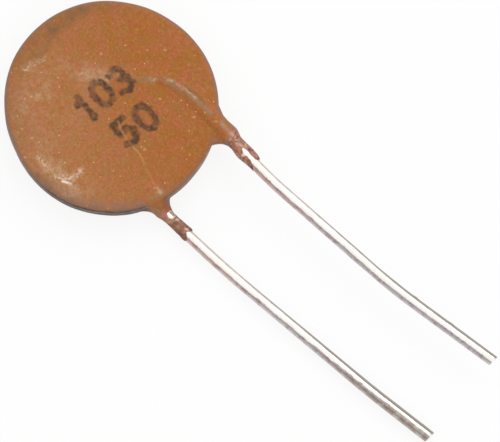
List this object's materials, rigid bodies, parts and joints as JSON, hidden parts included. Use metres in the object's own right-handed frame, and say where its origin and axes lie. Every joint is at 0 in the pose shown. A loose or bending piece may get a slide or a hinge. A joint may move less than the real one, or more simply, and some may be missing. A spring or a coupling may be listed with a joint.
{
  "type": "ceramic disc capacitor",
  "caption": "Dipped ceramic disc capacitor: a flat round orange-brown body with two bare tinned wire leads leaving its rim side by side.",
  "frame": {"origin": "centre of the body's flat back face, on which it lies", "axes": "+X along the leads towards their cut ends, +Z out of the front face, +Y towards the lead that leaves the front"},
  "size_m": [0.0294, 0.0112, 0.0021],
  "materials": {
    "dip_coating": "waxed dip coat, worn and dusty",
    "ceramic": "fired, unglazed",
    "silver_film": "fired silver, matt",
    "solder": "dull solder",
    "tinned_wire": "bright tin over copper, slightly dulled"
  },
  "bodies": {
    "root": {"coating": "dip_coating", "ceramic_disc": "ceramic", "front_electrode": "silver_film", "rear_electrode": "silver_film", "front_solder": "solder", "rear_solder": "solder", "front_lead": "tinned_wire", "rear_lead": "tinned_wire"}
  },
  "joints": []
}
